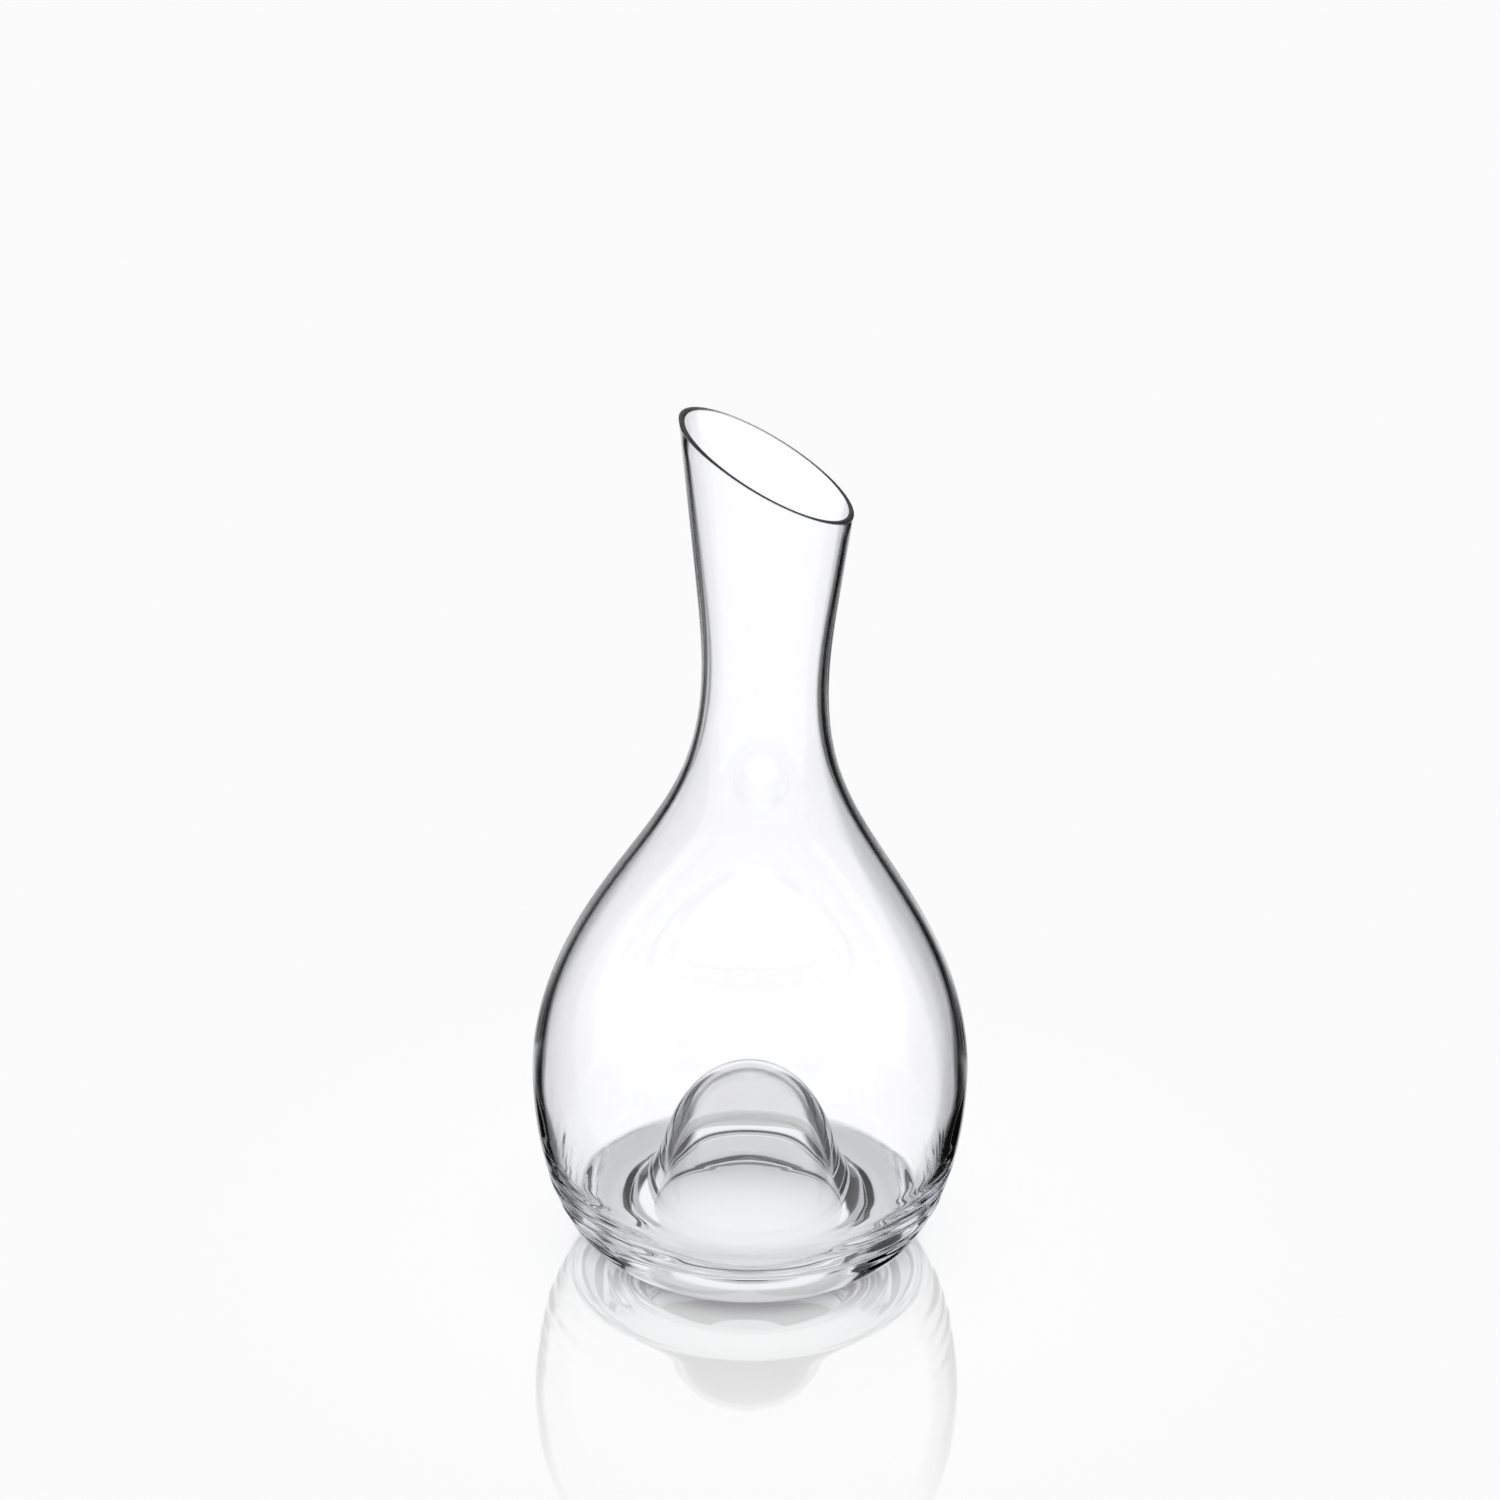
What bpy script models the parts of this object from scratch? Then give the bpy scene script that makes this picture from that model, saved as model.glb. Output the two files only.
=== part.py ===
"""Wine decanter: one vessel of clear blown glass, in metres, standing on Z = 0 with its axis along Z.

The bulb is round and thick at the base, where a punt is pushed up inside it. Above a narrow throat the neck
flares and leans towards +X, and its mouth is ground flat on a slant, with the pouring lip on the +X side.
"""

import math

import bmesh
import bpy
import numpy as np

MM = 0.001

# Driving dimensions, in millimetres
BELLY_RADIUS = 70.0  # outside of the bulb at its widest
BELLY_HEIGHT = 61.3  # height of the widest level above the table
FOOT_OUTER = 43.0  # contact ring the vessel stands on
FOOT_INNER = 40.5
THROAT_RADIUS = 20.0  # outside of the neck at its narrowest
THROAT_HEIGHT = 198.0
FLARE_RADIUS = 29.8  # outside of the neck where the flare would end if it were cut level
FLARE_HEIGHT = 288.0
PUNT_HEIGHT = 56.8  # underside of the punt at its top
PUNT_WALL = 3.0  # glass over the top of the punt
LIP_SLOPE = math.tan(math.radians(30.0))  # fall of the ground mouth towards +X, per unit of X
LIP_CENTRE_X = 4.7  # point on the mouth's plane
LIP_CENTRE_Z = 268.5
LIP_ROUND = 0.35  # rounding of the mouth's two edges
SLANT_START = 215.0  # the neck's rings are level up to here and turn to the mouth's slant above
STRAIGHT_TOP = 268.0  # height of the mouth before it is slanted

# Fineness of the solid, and of the curves it is read from
SEGMENTS = 56
STEPS_PER_SPAN = 2
HEEL_STEPS = 10
FINE_STEPS = 40
FINE_HEEL_STEPS = 200
SLANT_PASSES = 12
MERGE_DISTANCE = 0.01

# Outside of the wall from the belly up to the flare, as (radius, height)
OUTSIDE = (
    (BELLY_RADIUS, BELLY_HEIGHT),
    (66.9, 83.0),
    (59.4, 103.0),
    (48.4, 123.0),
    (31.9, 150.0),
    (24.1, 168.0),
    (THROAT_RADIUS, THROAT_HEIGHT),
    (22.6, 230.0),
    (25.7, 255.0),
    (FLARE_RADIUS, FLARE_HEIGHT),
)

# Thickness of the wall at heights from the top of the heel to the mouth, as (height, thickness)
WALL = (
    (25.0, 3.8),
    (45.0, 3.1),
    (65.0, 2.8),
    (110.0, 2.5),
    (160.0, 2.3),
    (210.0, 2.1),
    (250.0, 1.8),
    (290.0, 1.8),
)
WALL_BOTTOM = 30.0  # the wall's inner face runs parallel to the outside above this height
LOW_LEVELS = (32.0, 44.0)  # levels of the inner face between there and the belly
RIM_CLEARANCE = 4.0  # length below the mouth without a ring of the splines' own
RIM_BAND = 0.8  # level of the last ring below the mouth's rounding

# Floor of the bulb, from the wall through the trough and over the punt, as (radius, height)
FLOOR = (
    (58.8, 22.6),
    (56.4, 18.6),
    (54.8, 16.6),
    (52.2, 15.6),
    (46.4, 15.0),
    (41.4, 15.2),
    (37.0, 17.0),
    (33.2, 21.4),
    (29.6, 28.5),
    (25.4, 40.0),
    (20.6, 48.6),
    (15.4, 54.4),
    (8.6, 58.4),
    (0.0, PUNT_HEIGHT + PUNT_WALL),
)

# Underside of the punt, from the axis down to the contact ring, as (radius, height)
PUNT = (
    (0.0, PUNT_HEIGHT),
    (7.8, 55.5),
    (13.6, 52.0),
    (18.2, 46.8),
    (22.2, 38.8),
    (25.4, 28.8),
    (28.8, 19.2),
    (32.8, 10.6),
    (36.6, 4.0),
    (FOOT_INNER, 0.0),
)

# Offset of the vessel's centre line towards +X, as (height, offset)
CENTRE_LINE = ((0.0, 0.0), (60.0, 0.0), (118.0, 0.7), (165.0, 2.35), (210.0, 3.6), (288.0, 5.2))


def spline(stations, start=None, end=None):
    """A smooth curve through the stations by chord length, as a function of distance, and its total length.

    The curve is a cubic spline. It is free at its ends unless a start or end direction is given.
    """
    points = np.array(stations, float)
    chords = np.linalg.norm(np.diff(points, axis=0), axis=1)
    knots = np.concatenate([[0.0], np.cumsum(chords)])
    count = len(points)
    matrix = np.zeros((count, count))
    right = np.zeros_like(points)
    slopes = np.diff(points, axis=0) / chords[:, None]
    for i in range(1, count - 1):
        matrix[i, i - 1 : i + 2] = chords[i - 1], 2 * (chords[i - 1] + chords[i]), chords[i]
        right[i] = 6 * (slopes[i] - slopes[i - 1])
    matrix[0, 0] = matrix[-1, -1] = 1.0
    if start is not None:
        matrix[0, :2] = 2 * chords[0], chords[0]
        right[0] = 6 * (slopes[0] - np.array(start))
    if end is not None:
        matrix[-1, -2:] = chords[-1], 2 * chords[-1]
        right[-1] = 6 * (np.array(end) - slopes[-1])
    bends = np.linalg.solve(matrix, right)

    def at(distance):
        i = int(np.clip(np.searchsorted(knots, distance) - 1, 0, count - 2))
        a = (knots[i + 1] - distance) / chords[i]
        b = 1.0 - a
        bend = (a**3 - a) * bends[i] + (b**3 - b) * bends[i + 1]
        return a * points[i] + b * points[i + 1] + bend * chords[i] ** 2 / 6

    return at, knots


def sampled(curve, steps=STEPS_PER_SPAN):
    """Points along a spline, with the same number of steps in each span."""
    at, knots = curve
    spans = zip(knots[:-1], knots[1:])
    distances = [a + (b - a) * k / steps for a, b in spans for k in range(steps)] + [knots[-1]]
    return np.array([at(d) for d in distances])


def by_height(table):
    """A smooth function of height through a table of (height, value) rows."""
    points = sampled(spline(table), FINE_STEPS)
    return lambda z: float(np.interp(z, points[:, 0], points[:, 1]))


def outside(steps, heel_steps):
    """Outside of the vessel: a quarter ellipse from contact ring to belly, then a spline to the flare."""
    turns = [math.pi / 2 * k / heel_steps for k in range(heel_steps)]
    width = BELLY_RADIUS - FOOT_OUTER
    heel = [(FOOT_OUTER + width * math.sin(a), BELLY_HEIGHT * (1 - math.cos(a))) for a in turns]
    return np.concatenate([heel, sampled(spline(OUTSIDE, start=(0.0, 1.0)), steps)])


wall_thickness = by_height(WALL)
centre_offset = by_height(CENTRE_LINE)
fine_outside = outside(FINE_STEPS, FINE_HEEL_STEPS)


def outside_radius(z):
    """Outer radius of the vessel at a height above the belly."""
    upper = fine_outside[fine_outside[:, 1] >= BELLY_HEIGHT]
    return float(np.interp(z, upper[:, 1], upper[:, 0]))


def inside_wall():
    """Inner face of the wall from the flare down to the heel: the outside moved in by the thickness."""
    tangent = np.gradient(fine_outside, axis=0)
    normal = np.column_stack([-tangent[:, 1], tangent[:, 0]])
    normal /= np.linalg.norm(normal, axis=1)[:, None]
    depth = np.array([wall_thickness(z) for z in fine_outside[:, 1]])
    inner = fine_outside + normal * depth[:, None]
    inner = inner[inner[:, 1] >= WALL_BOTTOM]
    heights = list(LOW_LEVELS) + [z for _, z in OUTSIDE if z < STRAIGHT_TOP]
    return [(float(np.interp(z, inner[:, 1], inner[:, 0])), z) for z in sorted(heights, reverse=True)]


def section():
    """Half section with a level mouth, from the middle of the punt's underside round to its top face."""
    ring_top = STRAIGHT_TOP - RIM_CLEARANCE
    outer = [p for p in outside(STEPS_PER_SPAN, HEEL_STEPS) if p[1] < ring_top]
    punt = sampled(spline(PUNT, start=(1.0, 0.0)))
    mouth_radius = outside_radius(STRAIGHT_TOP)
    mouth_inner = mouth_radius - wall_thickness(STRAIGHT_TOP)
    inside = [(mouth_inner, STRAIGHT_TOP)] + inside_wall() + list(FLOOR)
    inner = sampled(spline(inside, end=(-1.0, 0.0)))
    inner = [p for p in inner if p[1] < ring_top]
    corner = [LIP_ROUND * (1 - math.cos(math.radians(a))) for a in (90, 60, 30, 0)]
    band = STRAIGHT_TOP - RIM_BAND
    rim = [(outside_radius(band), band)]
    rim += [(mouth_radius - c, STRAIGHT_TOP - d) for c, d in zip(corner[::-1], corner)]
    rim += [(mouth_inner + c, STRAIGHT_TOP - d) for c, d in zip(corner, corner[::-1])]
    rim += [(outside_radius(band) - wall_thickness(band), band)]
    return [tuple(p) for p in punt] + [tuple(p) for p in outer] + rim + [tuple(p) for p in inner]


def slanted(radius, angle, z):
    """Where a point of the level-mouthed vessel goes once its neck leans and its mouth is slanted."""
    share = max(0.0, (z - SLANT_START) / (STRAIGHT_TOP - SLANT_START))
    height, reach = z, radius
    for _ in range(SLANT_PASSES):
        x = centre_offset(height) + reach * math.cos(angle)
        plane = LIP_CENTRE_Z - LIP_SLOPE * (x - LIP_CENTRE_X)
        if share > 0:
            height = SLANT_START + share * (plane - SLANT_START)
        reach = radius + outside_radius(height) - outside_radius(z) if z > SLANT_START else radius
    return x, reach * math.sin(angle), height


def clear_glass():
    material = bpy.data.materials.new("clear_glass")
    material.use_nodes = True
    shader = material.node_tree.nodes["Principled BSDF"]
    shader.inputs["Base Color"].default_value = (0.94, 0.96, 0.97, 1.0)
    shader.inputs["Roughness"].default_value = 0.02
    shader.inputs["IOR"].default_value = 1.52
    shader.inputs["Transmission Weight"].default_value = 1.0
    return material


def glass_vessel():
    """The section spun round the axis, then leaned and slanted."""
    bm = bmesh.new()
    points = section()
    verts = [bm.verts.new((r * MM, 0.0, z * MM)) for r, z in points]
    edges = [bm.edges.new(pair) for pair in zip(verts[:-1], verts[1:])]
    bmesh.ops.spin(
        bm,
        geom=verts + edges,
        cent=(0, 0, 0),
        axis=(0, 0, 1),
        angle=math.tau,
        steps=SEGMENTS,
        use_merge=True,
    )
    bmesh.ops.remove_doubles(bm, verts=bm.verts, dist=MERGE_DISTANCE * MM)
    for vert in bm.verts:
        radius = math.hypot(vert.co.x, vert.co.y) / MM
        angle = math.atan2(vert.co.y, vert.co.x)
        vert.co = [value * MM for value in slanted(radius, angle, vert.co.z / MM)]
    bmesh.ops.recalc_face_normals(bm, faces=bm.faces)
    mesh = bpy.data.meshes.new("glass_vessel")
    bm.to_mesh(mesh)
    bm.free()
    for face in mesh.polygons:
        face.use_smooth = True
    mesh.materials.append(clear_glass())
    vessel = bpy.data.objects.new("glass_vessel", mesh)
    bpy.context.scene.collection.objects.link(vessel)
    return vessel


for thing in list(bpy.data.objects):
    bpy.data.objects.remove(thing)
glass_vessel()
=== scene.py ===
"""Looks of the wine decanter: clear glass in place of the CAD vessel, on a plain pale table in soft light."""

import math

import bmesh
import bpy
import numpy as np
from mathutils import Matrix, Vector


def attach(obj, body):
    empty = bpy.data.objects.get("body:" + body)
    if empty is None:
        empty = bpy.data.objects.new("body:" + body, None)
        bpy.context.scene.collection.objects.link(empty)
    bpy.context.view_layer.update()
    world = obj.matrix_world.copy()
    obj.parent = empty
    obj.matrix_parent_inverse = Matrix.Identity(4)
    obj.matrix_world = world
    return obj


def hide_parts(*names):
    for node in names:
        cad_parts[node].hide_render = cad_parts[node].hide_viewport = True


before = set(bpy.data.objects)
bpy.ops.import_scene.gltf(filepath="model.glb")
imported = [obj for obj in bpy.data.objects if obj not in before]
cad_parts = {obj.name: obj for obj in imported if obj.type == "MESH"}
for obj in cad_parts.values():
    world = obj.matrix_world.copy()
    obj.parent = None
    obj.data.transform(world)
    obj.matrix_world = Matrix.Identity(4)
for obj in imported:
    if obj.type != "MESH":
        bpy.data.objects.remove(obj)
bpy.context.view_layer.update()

MM = 0.001

# Driving dimensions, in millimetres
BELLY_RADIUS = 70.0  # outside of the bulb at its widest
BELLY_HEIGHT = 61.3  # height of the widest level above the table
FOOT_OUTER = 43.0  # contact ring the vessel stands on
FOOT_INNER = 40.5
THROAT_RADIUS = 20.0  # outside of the neck at its narrowest
THROAT_HEIGHT = 198.0
FLARE_RADIUS = 29.8  # outside of the neck where the flare would end if it were cut level
FLARE_HEIGHT = 288.0
PUNT_HEIGHT = 56.8  # underside of the punt at its top
PUNT_WALL = 3.0  # glass over the top of the punt
LIP_SLOPE = math.tan(math.radians(30.0))  # fall of the ground mouth towards +X, per unit of X
LIP_CENTRE_X = 4.7  # point on the mouth's plane
LIP_CENTRE_Z = 268.5
LIP_ROUND = 0.35  # rounding of the mouth's two edges
SLANT_START = 215.0  # the neck's rings are level up to here and turn to the mouth's slant above
STRAIGHT_TOP = 268.0  # height of the mouth before it is slanted

# Fineness of the solid, and of the curves it is read from
SEGMENTS = 240
STEPS_PER_SPAN = 6
HEEL_STEPS = 110
FINE_STEPS = 40
FINE_HEEL_STEPS = 200
SLANT_PASSES = 12
MERGE_DISTANCE = 0.01

# Outside of the wall from the belly up to the flare, as (radius, height)
OUTSIDE = (
    (BELLY_RADIUS, BELLY_HEIGHT),
    (66.9, 83.0),
    (59.4, 103.0),
    (48.4, 123.0),
    (31.9, 150.0),
    (24.1, 168.0),
    (THROAT_RADIUS, THROAT_HEIGHT),
    (22.6, 230.0),
    (25.7, 255.0),
    (FLARE_RADIUS, FLARE_HEIGHT),
)

# Thickness of the wall at heights from the heel up to the mouth, as (height, thickness)
WALL = (
    (25.0, 3.8),
    (45.0, 3.1),
    (65.0, 2.8),
    (110.0, 2.5),
    (160.0, 2.3),
    (210.0, 2.1),
    (250.0, 1.8),
    (290.0, 1.8),
)
WALL_BOTTOM = 30.0  # the wall's inner face runs parallel to the outside above this height
LOW_LEVELS = (32.0, 44.0)  # levels of the inner face between there and the belly
RIM_CLEARANCE = 4.0  # length below the mouth without a ring of the splines' own
RIM_BAND = 0.8  # level of the last ring below the mouth's rounding

# Floor of the bulb, from the wall through the trough and over the punt, as (radius, height)
FLOOR = (
    (58.8, 22.6),
    (56.4, 18.6),
    (54.8, 16.6),
    (52.2, 15.6),
    (46.4, 15.0),
    (41.4, 15.2),
    (37.0, 17.0),
    (33.2, 21.4),
    (29.6, 28.5),
    (25.4, 40.0),
    (20.6, 48.6),
    (15.4, 54.4),
    (8.6, 58.4),
    (0.0, PUNT_HEIGHT + PUNT_WALL),
)

# Underside of the punt, from the axis down to the contact ring, as (radius, height)
PUNT = (
    (0.0, PUNT_HEIGHT),
    (7.8, 55.5),
    (13.6, 52.0),
    (18.2, 46.8),
    (22.2, 38.8),
    (25.4, 28.8),
    (28.8, 19.2),
    (32.8, 10.6),
    (36.6, 4.0),
    (FOOT_INNER, 0.0),
)

# Offset of the vessel's centre line towards +X, as (height, offset)
CENTRE_LINE = ((0.0, 0.0), (60.0, 0.0), (118.0, 0.7), (165.0, 2.35), (210.0, 3.6), (288.0, 5.2))


def spline(stations, start=None, end=None):
    """A smooth curve through the stations by chord length, as a function of distance, and its total length.

    The curve is a cubic spline. It is free at its ends unless a start or end direction is given.
    """
    points = np.array(stations, float)
    chords = np.linalg.norm(np.diff(points, axis=0), axis=1)
    knots = np.concatenate([[0.0], np.cumsum(chords)])
    count = len(points)
    matrix = np.zeros((count, count))
    right = np.zeros_like(points)
    slopes = np.diff(points, axis=0) / chords[:, None]
    for i in range(1, count - 1):
        matrix[i, i - 1 : i + 2] = chords[i - 1], 2 * (chords[i - 1] + chords[i]), chords[i]
        right[i] = 6 * (slopes[i] - slopes[i - 1])
    matrix[0, 0] = matrix[-1, -1] = 1.0
    if start is not None:
        matrix[0, :2] = 2 * chords[0], chords[0]
        right[0] = 6 * (slopes[0] - np.array(start))
    if end is not None:
        matrix[-1, -2:] = chords[-1], 2 * chords[-1]
        right[-1] = 6 * (np.array(end) - slopes[-1])
    bends = np.linalg.solve(matrix, right)

    def at(distance):
        i = int(np.clip(np.searchsorted(knots, distance) - 1, 0, count - 2))
        a = (knots[i + 1] - distance) / chords[i]
        b = 1.0 - a
        bend = (a**3 - a) * bends[i] + (b**3 - b) * bends[i + 1]
        return a * points[i] + b * points[i + 1] + bend * chords[i] ** 2 / 6

    return at, knots


def sampled(curve, steps=STEPS_PER_SPAN):
    """Points along a spline, with the same number of steps in each span."""
    at, knots = curve
    spans = zip(knots[:-1], knots[1:])
    distances = [a + (b - a) * k / steps for a, b in spans for k in range(steps)] + [knots[-1]]
    return np.array([at(d) for d in distances])


def by_height(table):
    """A smooth function of height through a table of (height, value) rows."""
    points = sampled(spline(table), FINE_STEPS)
    return lambda z: float(np.interp(z, points[:, 0], points[:, 1]))


def outside(steps, heel_steps):
    """Outside of the vessel: a quarter ellipse from contact ring to belly, then a spline to the flare."""
    turns = [math.pi / 2 * k / heel_steps for k in range(heel_steps)]
    width = BELLY_RADIUS - FOOT_OUTER
    heel = [(FOOT_OUTER + width * math.sin(a), BELLY_HEIGHT * (1 - math.cos(a))) for a in turns]
    return np.concatenate([heel, sampled(spline(OUTSIDE, start=(0.0, 1.0)), steps)])


wall_thickness = by_height(WALL)
centre_offset = by_height(CENTRE_LINE)
fine_outside = outside(FINE_STEPS, FINE_HEEL_STEPS)


def outside_radius(z):
    """Outer radius of the vessel at a height above the belly."""
    upper = fine_outside[fine_outside[:, 1] >= BELLY_HEIGHT]
    return float(np.interp(z, upper[:, 1], upper[:, 0]))


def inside_wall():
    """Inner face of the wall from the flare down to the heel: the outside moved in by the thickness."""
    tangent = np.gradient(fine_outside, axis=0)
    normal = np.column_stack([-tangent[:, 1], tangent[:, 0]])
    normal /= np.linalg.norm(normal, axis=1)[:, None]
    depth = np.array([wall_thickness(z) for z in fine_outside[:, 1]])
    inner = fine_outside + normal * depth[:, None]
    inner = inner[inner[:, 1] >= WALL_BOTTOM]
    heights = list(LOW_LEVELS) + [z for _, z in OUTSIDE if z < STRAIGHT_TOP]
    return [(float(np.interp(z, inner[:, 1], inner[:, 0])), z) for z in sorted(heights, reverse=True)]


def section():
    """Half section with a level mouth, from the middle of the punt's underside round to its top face."""
    ring_top = STRAIGHT_TOP - RIM_CLEARANCE
    outer = [p for p in outside(STEPS_PER_SPAN, HEEL_STEPS) if p[1] < ring_top]
    punt = sampled(spline(PUNT, start=(1.0, 0.0)))
    mouth_radius = outside_radius(STRAIGHT_TOP)
    mouth_inner = mouth_radius - wall_thickness(STRAIGHT_TOP)
    inside = [(mouth_inner, STRAIGHT_TOP)] + inside_wall() + list(FLOOR)
    inner = sampled(spline(inside, end=(-1.0, 0.0)))
    inner = [p for p in inner if p[1] < ring_top]
    corner = [LIP_ROUND * (1 - math.cos(math.radians(a))) for a in (90, 60, 30, 0)]
    band = STRAIGHT_TOP - RIM_BAND
    rim = [(outside_radius(band), band)]
    rim += [(mouth_radius - c, STRAIGHT_TOP - d) for c, d in zip(corner[::-1], corner)]
    rim += [(mouth_inner + c, STRAIGHT_TOP - d) for c, d in zip(corner, corner[::-1])]
    rim += [(outside_radius(band) - wall_thickness(band), band)]
    return [tuple(p) for p in punt] + [tuple(p) for p in outer] + rim + [tuple(p) for p in inner]


def slanted(radius, angle, z):
    """Where a point of the level-mouthed vessel goes once its neck leans and its mouth is slanted."""
    share = max(0.0, (z - SLANT_START) / (STRAIGHT_TOP - SLANT_START))
    height, reach = z, radius
    for _ in range(SLANT_PASSES):
        x = centre_offset(height) + reach * math.cos(angle)
        plane = LIP_CENTRE_Z - LIP_SLOPE * (x - LIP_CENTRE_X)
        if share > 0:
            height = SLANT_START + share * (plane - SLANT_START)
        reach = radius + outside_radius(height) - outside_radius(z) if z > SLANT_START else radius
    return x, reach * math.sin(angle), height


# Unevenness left by blowing, in millimetres
RIDGE_DEPTH = 0.20  # tooling rings low on the sides of the bulb
RIDGE_PITCH = 6.0
RIDGE_HEIGHT = 22.0  # level where the rings are deepest
RIDGE_SPREAD = 11.0
RIDGE_WAVES = ((1.0, 1.0, 2, 0.5), (0.7, 0.62, -1, 1.1))  # as (share, rings per pitch, climb, phase)
RIDGE_SIDES = (0.3, 0.8)  # cosine of the angle round the bulb between which the rings fade in
RIDGE_BACK = (-0.35, 0.0)  # how far round to the back they fade out, as a sine
SWAY_DEPTH = 0.03  # slow sway of the whole wall
SWAY_WAVES = ((1.0, 2, 0.05, 0.0), (0.6, 3, -0.08, 1.3))  # as (share, lobes, twist with height, phase)
CALM_FOOT = (4.0, 14.0)  # distance from the table over which the unevenness grows
CALM_MOUTH = (2.0, 22.0)  # and from the mouth
OUTER_SKIN = 0.5  # points this close to the outside belong to it
WALL_REACH = 10.0  # and up to here to the wall's inner face
LIP_GROUND = 0.3  # depth of the satin left by grinding, below the mouth's plane

# Glass
GLASS_IOR = 1.52
LIP_ROUGHNESS = 0.4
CORD_SCALE = 34.0  # faint cords in the surface
CORD_DETAIL = 1.5
CORD_STRETCH = (1.0, 1.0, 0.35)
CORD_STRENGTH = 0.01
CORD_DEPTH = 0.002
GLASS_TINT = (0.80, 0.83, 0.88, 1.0)  # trace of grey in thick glass
GLASS_DENSITY = 7.0

# Table, in metres
WHITE = (1.0, 1.0, 1.0, 1.0)
DISC_SIDES = 96
FLOOR_RADIUS = 6.0
FLOOR_DEPTH = 0.0002
PAINTED_SHADOW = (0.25, 0.24, 0.28, 1.0)  # painted contact shadow on the table where the vessel meets it
PAINTED_SHADOW_FADE = (0.040, 0.059)  # distances from the axis over which the painted shadow ends
SHEEN = 0.30  # share of the light that the table mirrors under the vessel
SHEEN_ROUGHNESS = 0.03
SHEEN_FADE = (0.05, 0.22)

# The round of table that the glass shows through its base, in metres
PATCH_RADIUS = 0.068
PATCH_SOFT = 0.009
PATCH_NEAR = (0.97, 0.97, 0.98, 1.0)  # colour in front of the punt, clear of the painted shade
PATCH_PAINTED_SHADE = (0.66, 0.66, 0.67, 1.0)  # painted shade behind it
PATCH_SHADE_FADE = (0.022, 0.070)
PATCH_SHADE_SHIFT = (0.0, 0.020, 0.0)
PAINTED_POOL_FADE = (0.009, 0.023)  # painted pool of light in front of the punt
PAINTED_POOL_SHIFT = (-0.001, 0.016, 0.0)
PAINTED_POOL_SQUEEZE = (0.75, 1.0, 1.0)

# Studio: heights are sines of the elevation, gaps are in degrees round from +X
EVEN_LIGHT = 0.965  # light on the table, and the plain background
IN_GLASS = (1.05, 1.05, 1.07, 1.0)  # colour of the backdrop that the glass and the table's sheen show
GAP_SOFT = 6.0
GAP_LIGHT = 0.012
DARK_GAPS = ((2.0, 70.0), (112.0, 127.0), (148.0, 166.0), (195.0, 225.0), (275.0, 299.0), (331.0, 350.0))
HORIZON = (0.06, 0.20)  # the lit backdrop ends a little above the table
HORIZON_LIGHT = 0.30
BACK_GAPS = ((30.0, 70.0), (112.0, 127.0))  # the gaps that reflections show
BACK_HORIZON = (-0.20, 0.20)
TABLE_LIGHT = 0.62  # what reflections show of the table
FOOT_SURFACES = 4.5  # light that has crossed more faces than this came through the foot of the punt
FOOT_GAPS = ((10.0, 73.0), (107.0, 170.0))
FOOT_HORIZON = (-0.10, 0.02)
FOOT_LIGHT = 0.68
OVERHEAD = (0.55, 0.75)
OVERHEAD_LIGHT = 0.55
HOLLOW_SURFACES = 6.5  # and more than this through the hollow under it
HOLLOW_HORIZON = (-0.30, -0.10)
HOLLOW_LIGHT = 0.80
HOLLOW_EDGE = 0.02

# Camera, in metres and degrees
CAMERA_DISTANCE = 1.968
CAMERA_ELEVATION = 26.0
CAMERA_ROLL = 0.66
AIM_HEIGHT = 0.128  # height on the axis that the distance and elevation are measured from
FRAMING_SIDE = -0.0012  # where the middle of the picture falls, from the axis
FRAMING_UP = 0.1728
LENS = 148.8
SENSOR = 36.0
FAR = 50.0

# Bounces that light needs to get through the thick base
GLASS_BOUNCES = 24
MIRROR_BOUNCES = 12


def eased(value, start, end):
    """0 at the start, 1 at the end, smooth between."""
    share = min(1.0, max(0.0, (value - start) / (end - start)))
    return share * share * (3 - 2 * share)


def ridges(angle, height):
    """Tooling rings low on the sides of the bulb, climbing slightly as they go round, in millimetres."""
    low = math.exp(-(((height - RIDGE_HEIGHT) / RIDGE_SPREAD) ** 2))
    turn = math.tau * height / RIDGE_PITCH
    waves = 0.0
    for size, rate, climb, phase in RIDGE_WAVES:
        waves += size * math.sin(rate * turn + climb * angle + phase)
    sides = eased(abs(math.cos(angle)), *RIDGE_SIDES) * eased(-math.sin(angle), *RIDGE_BACK)
    return RIDGE_DEPTH * low * waves * sides


def sway(angle, height):
    """Slow unevenness of the blown wall, in millimetres."""
    waves = 0.0
    for size, lobes, twist, phase in SWAY_WAVES:
        waves += size * math.sin(lobes * angle + twist * height + phase)
    return SWAY_DEPTH * waves / 2


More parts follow.
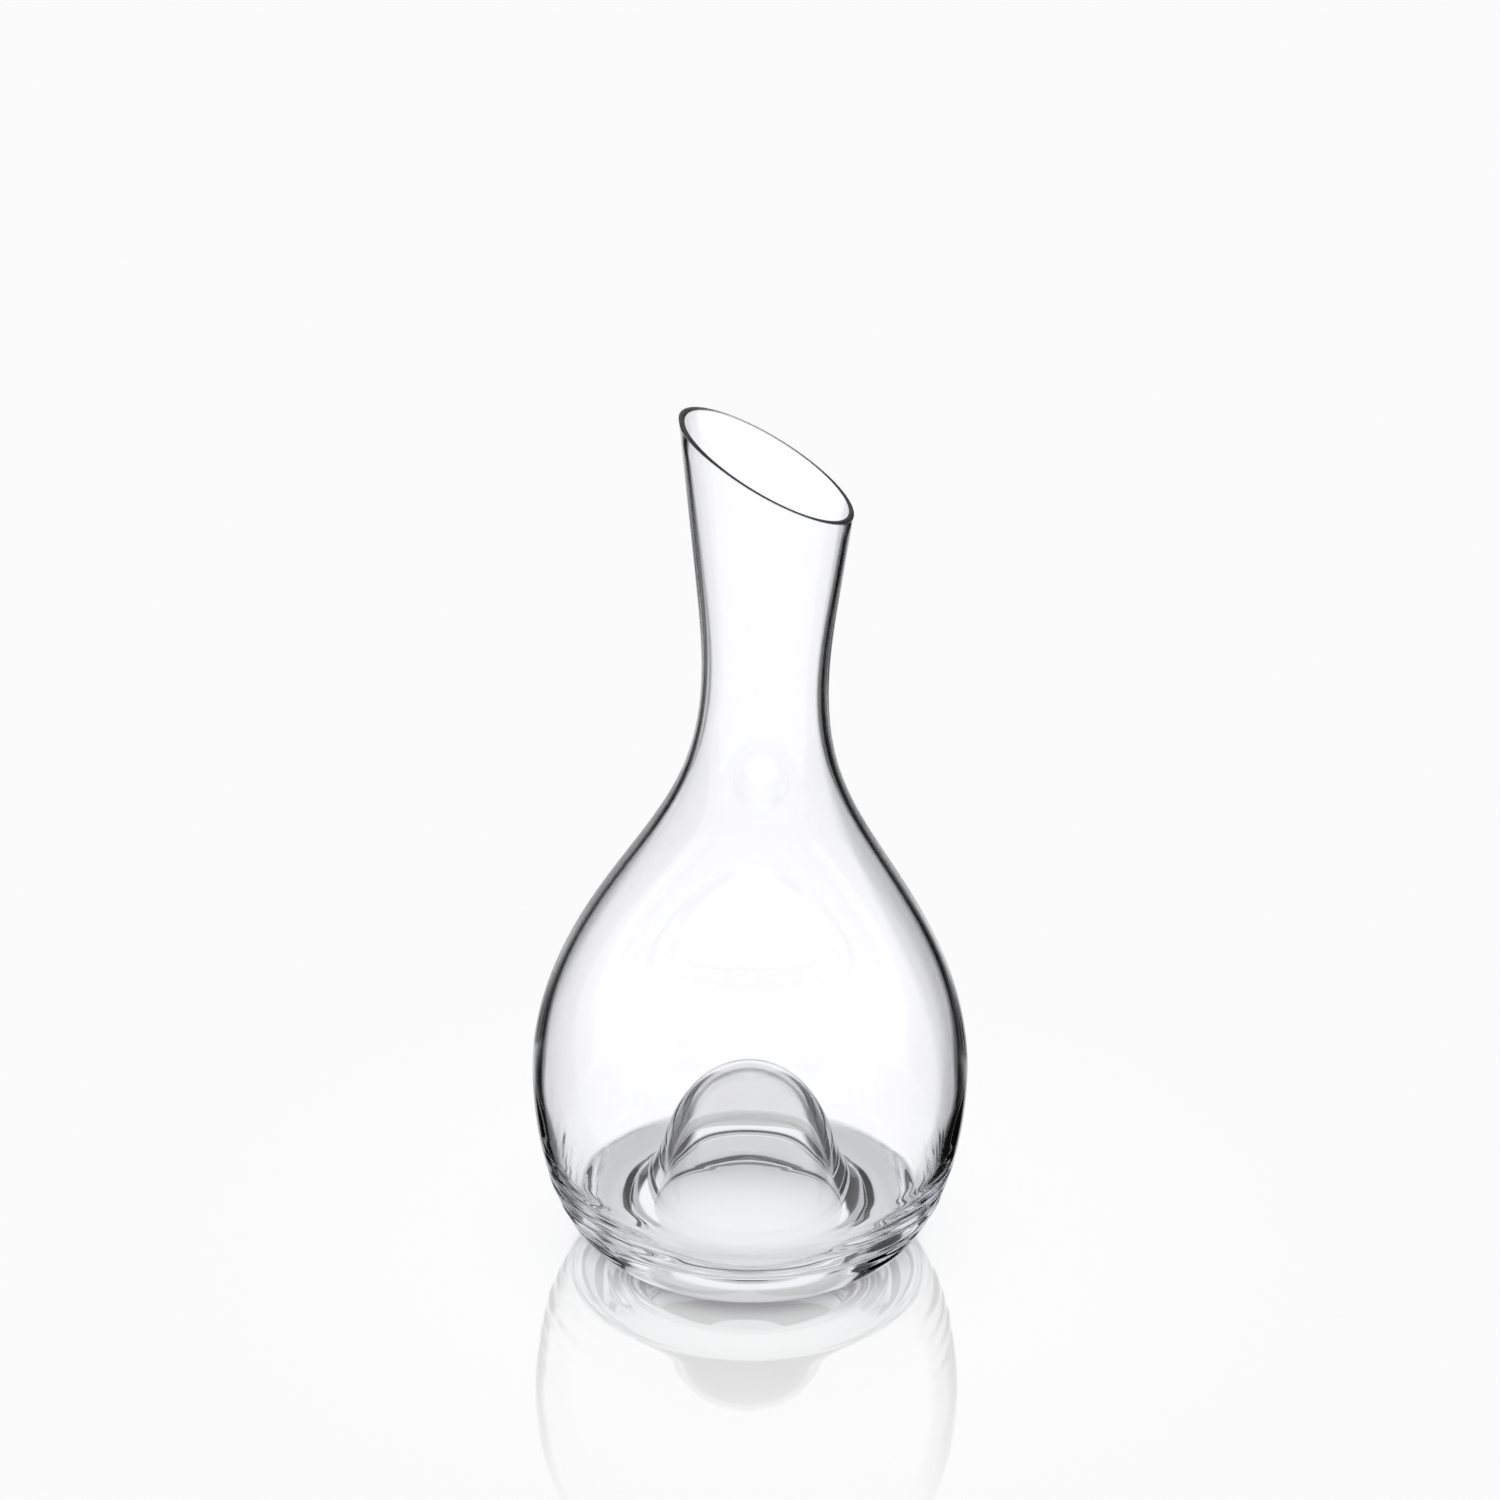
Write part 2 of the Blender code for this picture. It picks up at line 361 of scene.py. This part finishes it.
def glass_mesh():
    """The CAD section at fine steps, spun, made uneven, leaned and slanted, with its mouth ground."""
    bm = bmesh.new()
    verts = [bm.verts.new((r * MM, 0.0, z * MM)) for r, z in section()]
    edges = [bm.edges.new(pair) for pair in zip(verts[:-1], verts[1:])]
    bmesh.ops.spin(
        bm,
        geom=verts + edges,
        cent=(0, 0, 0),
        axis=(0, 0, 1),
        angle=math.tau,
        steps=SEGMENTS,
        use_merge=True,
    )
    bmesh.ops.remove_doubles(bm, verts=bm.verts, dist=MERGE_DISTANCE * MM)
    for vert in bm.verts:
        radius = math.hypot(vert.co.x, vert.co.y) / MM
        angle = math.atan2(vert.co.y, vert.co.x)
        height = vert.co.z / MM
        outer = float(np.interp(height, fine_outside[:, 1], fine_outside[:, 0]))
        uneven = eased(height, *CALM_FOOT) * eased(STRAIGHT_TOP - height, *CALM_MOUTH)
        if radius > outer - OUTER_SKIN:
            radius += uneven * (ridges(angle, height) - sway(angle, height))
        elif radius > outer - WALL_REACH:
            radius += uneven * sway(angle, height)
        vert.co = [value * MM for value in slanted(radius, angle, height)]
    bmesh.ops.recalc_face_normals(bm, faces=bm.faces)
    for face in bm.faces:
        spot = face.calc_center_median() / MM
        mouth = LIP_CENTRE_Z - LIP_SLOPE * (spot.x - LIP_CENTRE_X)
        face.material_index = int(spot.z > mouth - LIP_GROUND)
    mesh = bpy.data.meshes.new("decanter_glass")
    bm.to_mesh(mesh)
    bm.free()
    mesh.shade_smooth()
    mesh.materials.append(glass_material("blown_glass", 0.0))
    mesh.materials.append(glass_material("ground_lip", LIP_ROUGHNESS))
    return mesh


def plug(tree, socket, value):
    """Feed a node's input from another node's output, or set it to a plain value."""
    if isinstance(value, bpy.types.NodeSocket):
        tree.links.new(value, socket)
    else:
        socket.default_value = value


def add_node(tree, kind, inputs):
    """A new node with its inputs fed or set, by their names or places."""
    node = tree.nodes.new("ShaderNode" + kind)
    for name, value in inputs.items():
        plug(tree, node.inputs[name], value)
    return node


def worked_out(tree, operation, first, second, clamp=False):
    """A value worked out from two others, held between 0 and 1 if it is clamped."""
    node = tree.nodes.new("ShaderNodeMath")
    node.operation = operation
    node.use_clamp = clamp
    plug(tree, node.inputs[0], first)
    plug(tree, node.inputs[1], second)
    return node.outputs["Value"]


def mixed(tree, factor, first, second, kind="FLOAT"):
    """A value or colour between two others. The factor counts as 1 above 1 and as 0 below 0."""
    node = tree.nodes.new("ShaderNodeMix")
    node.data_type = kind
    plug(tree, node.inputs["Factor"], factor)
    plug(tree, node.inputs["A"], first)
    plug(tree, node.inputs["B"], second)
    return node.outputs["Result"]


def mixed_shaders(tree, factor, first, second):
    """A shader between two others."""
    return add_node(tree, "MixShader", {"Fac": factor, 1: first, 2: second}).outputs["Shader"]


def faded(tree, value, limits, first, last):
    """A value that goes smoothly from first to last while another goes between two limits."""
    ends = {"From Min": limits[0], "From Max": limits[1], "To Min": first, "To Max": last}
    fade = add_node(tree, "MapRange", {"Value": value, **ends})
    fade.interpolation_type = "SMOOTHSTEP"
    return fade.outputs["Result"]


def distance_fade(tree, limits, first, last, shift=(0.0, 0.0, 0.0), squeeze=(1.0, 1.0, 1.0)):
    """A value that goes from first to last between two distances from a point of the object's plane."""
    place = tree.nodes.new("ShaderNodeTexCoord").outputs["Object"]
    moved = add_node(tree, "Mapping", {"Vector": place, "Location": shift, "Scale": squeeze})
    length = add_node(tree, "VectorMath", {0: moved.outputs["Vector"]})
    length.operation = "LENGTH"
    return faded(tree, length.outputs["Value"], limits, first, last)


def glass_material(name, roughness):
    """Colourless blown glass: faint cords in its surface and a trace of grey in its thickness."""
    material = bpy.data.materials.new(name)
    material.use_nodes = True
    tree = material.node_tree
    shader = tree.nodes["Principled BSDF"]
    place = tree.nodes.new("ShaderNodeTexCoord").outputs["Object"]
    stretched = add_node(tree, "Mapping", {"Vector": place, "Scale": CORD_STRETCH}).outputs["Vector"]
    cords = add_node(tree, "TexNoise", {"Vector": stretched, "Scale": CORD_SCALE, "Detail": CORD_DETAIL})
    raised = {"Strength": CORD_STRENGTH, "Distance": CORD_DEPTH, "Height": cords.outputs["Fac"]}
    shader.inputs["Base Color"].default_value = WHITE
    shader.inputs["Roughness"].default_value = roughness
    shader.inputs["IOR"].default_value = GLASS_IOR
    shader.inputs["Transmission Weight"].default_value = 1.0
    tree.links.new(add_node(tree, "Bump", raised).outputs["Normal"], shader.inputs["Normal"])
    absorb = add_node(tree, "VolumeAbsorption", {"Color": GLASS_TINT, "Density": GLASS_DENSITY})
    tree.links.new(absorb.outputs["Volume"], tree.nodes["Material Output"].inputs["Volume"])
    return material


def table_material():
    """Pale, slightly polished table: white, with a painted contact shadow where the vessel stands, and a
    sheen that fades away.
    """
    material = bpy.data.materials.new("pale_table")
    material.use_nodes = True
    tree = material.node_tree
    tree.nodes.clear()
    # Painted contact shadow round the foot, fading to white away from the axis
    painted_shading = mixed(tree, distance_fade(tree, PAINTED_SHADOW_FADE, 0.0, 1.0), PAINTED_SHADOW, WHITE, "RGBA")
    matt = add_node(tree, "BsdfDiffuse", {"Color": painted_shading}).outputs["BSDF"]
    sheen = add_node(tree, "BsdfGlossy", {"Color": WHITE, "Roughness": SHEEN_ROUGHNESS}).outputs["BSDF"]
    polished = mixed_shaders(tree, distance_fade(tree, SHEEN_FADE, SHEEN, 0.0), matt, sheen)
    add_node(tree, "OutputMaterial", {"Surface": polished})
    return material


def patch_material():
    """The table under the base as the glass shows it: painted shade behind the punt, a painted pool of light
    in front of it, ending softly.
    """
    material = bpy.data.materials.new("table_patch")
    material.use_nodes = True
    tree = material.node_tree
    tree.nodes.clear()
    # Painted shade, growing darker behind the punt
    back = distance_fade(tree, PATCH_SHADE_FADE, 0.0, 1.0, PATCH_SHADE_SHIFT)
    # Painted pool of light in front of the punt
    painted_pool = distance_fade(tree, PAINTED_POOL_FADE, 1.0, 0.0, PAINTED_POOL_SHIFT, PAINTED_POOL_SQUEEZE)
    painted_shading = mixed(tree, painted_pool, mixed(tree, back, PATCH_NEAR, PATCH_PAINTED_SHADE, "RGBA"), WHITE, "RGBA")
    matt = add_node(tree, "BsdfDiffuse", {"Color": painted_shading}).outputs["BSDF"]
    clear = tree.nodes.new("ShaderNodeBsdfTransparent").outputs["BSDF"]
    edge = distance_fade(tree, (PATCH_RADIUS - PATCH_SOFT, PATCH_RADIUS), 0.0, 1.0)
    add_node(tree, "OutputMaterial", {"Surface": mixed_shaders(tree, edge, matt, clear)})
    return material


def disc(name, radius, height, material):
    """A flat round piece of the set, level with the table."""
    bm = bmesh.new()
    bmesh.ops.create_circle(bm, cap_ends=True, segments=DISC_SIDES, radius=radius)
    mesh = bpy.data.meshes.new(name)
    bm.to_mesh(mesh)
    bm.free()
    mesh.materials.append(material)
    piece = bpy.data.objects.new(name, mesh)
    piece.location.z = height
    bpy.context.scene.collection.objects.link(piece)
    return piece


def gap_ramp(tree, share, gaps):
    """White all round with dark gaps, as a function of the share of a full turn."""
    ramp = add_node(tree, "ValToRGB", {"Fac": share})
    ramp.color_ramp.interpolation = "EASE"
    dark = (GAP_LIGHT, GAP_LIGHT, GAP_LIGHT, 1.0)
    rows = [(0.0, WHITE), (1.0, WHITE)]
    for start, end in gaps:
        edges = ((start - GAP_SOFT, WHITE), (start, dark), (end, dark), (end + GAP_SOFT, WHITE))
        rows += [(((angle + 180.0) % 360.0) / 360.0, colour) for angle, colour in edges]
    rows.sort(key=lambda row: row[0])
    stops = ramp.color_ramp.elements
    while len(stops) > 1:
        stops.remove(stops[-1])
    stops[0].position, stops[0].color = rows[0]
    for position, colour in rows[1:]:
        stops.new(position).color = colour
    return ramp.outputs["Color"]


def backdrop(tree, paths):
    """Brightness of what the glass shows: a lit backdrop with dark gaps beside it and dimmer light above.

    Reflected light, and light through the foot or the hollow of the punt, come from patterns of their own.
    """
    place = tree.nodes.new("ShaderNodeTexCoord").outputs["Generated"]
    ways = add_node(tree, "SeparateXYZ", {"Vector": place}).outputs
    rise = ways["Z"]
    turn = worked_out(tree, "ARCTAN2", ways["Y"], ways["X"])
    whole = {"Value": turn, "From Min": -math.pi, "From Max": math.pi}
    share = add_node(tree, "MapRange", whole).outputs["Result"]
    faces = paths["Transmission Depth"]
    low = faded(tree, rise, HORIZON, 1.0, HORIZON_LIGHT)
    straight = worked_out(tree, "MINIMUM", gap_ramp(tree, share, DARK_GAPS), low)
    table = faded(tree, rise, BACK_HORIZON, TABLE_LIGHT, 1.0)
    reflected = worked_out(tree, "MULTIPLY", gap_ramp(tree, share, BACK_GAPS), table)
    light = mixed(tree, paths["Glossy Depth"], straight, reflected)
    above = faded(tree, rise, FOOT_HORIZON, 0.0, 1.0)
    foot = mixed(tree, above, gap_ramp(tree, share, FOOT_GAPS), FOOT_LIGHT)
    light = mixed(tree, worked_out(tree, "GREATER_THAN", faces, FOOT_SURFACES), light, foot)
    light = mixed(tree, faded(tree, rise, OVERHEAD, 0.0, 1.0), light, OVERHEAD_LIGHT)
    hollow = faded(tree, rise, HOLLOW_HORIZON, HOLLOW_LIGHT, HOLLOW_EDGE)
    dimming = mixed(tree, worked_out(tree, "GREATER_THAN", faces, HOLLOW_SURFACES), 1.0, hollow)
    return worked_out(tree, "MULTIPLY", light, dimming)


def light_studio():
    """Even white light all round, and in its place a backdrop in the glass and the table's sheen."""
    world = bpy.data.worlds.new("studio")
    world.use_nodes = True
    tree = world.node_tree
    tree.nodes.clear()
    paths = tree.nodes.new("ShaderNodeLightPath").outputs
    in_glass = add_node(tree, "Background", {"Color": IN_GLASS, "Strength": backdrop(tree, paths)})
    even = add_node(tree, "Background", {"Color": WHITE, "Strength": EVEN_LIGHT})
    shiny = worked_out(tree, "MAXIMUM", paths["Is Transmission Ray"], paths["Is Glossy Ray"])
    never_matt = worked_out(tree, "SUBTRACT", shiny, paths["Diffuse Depth"], clamp=True)
    sky = mixed_shaders(tree, never_matt, even.outputs["Background"], in_glass.outputs["Background"])
    add_node(tree, "OutputWorld", {"Surface": sky})
    bpy.context.scene.world = world


def add_camera():
    """A camera a little above the vessel, with its mouth's slant square on."""
    data = bpy.data.cameras.new("camera")
    data.lens = LENS
    data.sensor_width = SENSOR
    data.clip_end = FAR
    camera = bpy.data.objects.new("camera", data)
    bpy.context.scene.collection.objects.link(camera)
    lift = math.radians(CAMERA_ELEVATION)
    back = Vector((0.0, -math.cos(lift), math.sin(lift)))
    place = Vector((0.0, 0.0, AIM_HEIGHT)) + back * CAMERA_DISTANCE
    aim = (Vector((FRAMING_SIDE, 0.0, FRAMING_UP)) - place).to_track_quat("-Z", "Y")
    roll = Matrix.Rotation(math.radians(CAMERA_ROLL), 4, "Z")
    camera.matrix_world = Matrix.Translation(place) @ aim.to_matrix().to_4x4() @ roll
    bpy.context.scene.camera = camera


glass = bpy.data.objects.new("decanter_glass", glass_mesh())
bpy.context.scene.collection.objects.link(glass)
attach(glass, "root")
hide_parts("glass_vessel")

# Through the glass only the round of table is seen, in reflections neither, and elsewhere the whole table
floor = disc("floor", FLOOR_RADIUS, -FLOOR_DEPTH, table_material())
floor.visible_transmission = False
floor.visible_glossy = False
patch = disc("table_patch", PATCH_RADIUS, -FLOOR_DEPTH / 2, patch_material())
patch.visible_camera = False
patch.visible_diffuse = False
patch.visible_glossy = False
patch.visible_shadow = False

light_studio()
add_camera()

scene = bpy.context.scene
scene.view_settings.view_transform = "Standard"
scene.cycles.max_bounces = GLASS_BOUNCES
scene.cycles.transmission_bounces = GLASS_BOUNCES
scene.cycles.transparent_max_bounces = GLASS_BOUNCES
scene.cycles.glossy_bounces = MIRROR_BOUNCES
scene.cycles.caustics_reflective = True
scene.cycles.caustics_refractive = True
scene.cycles.blur_glossy = 0.0
scene.cycles.use_denoising = True
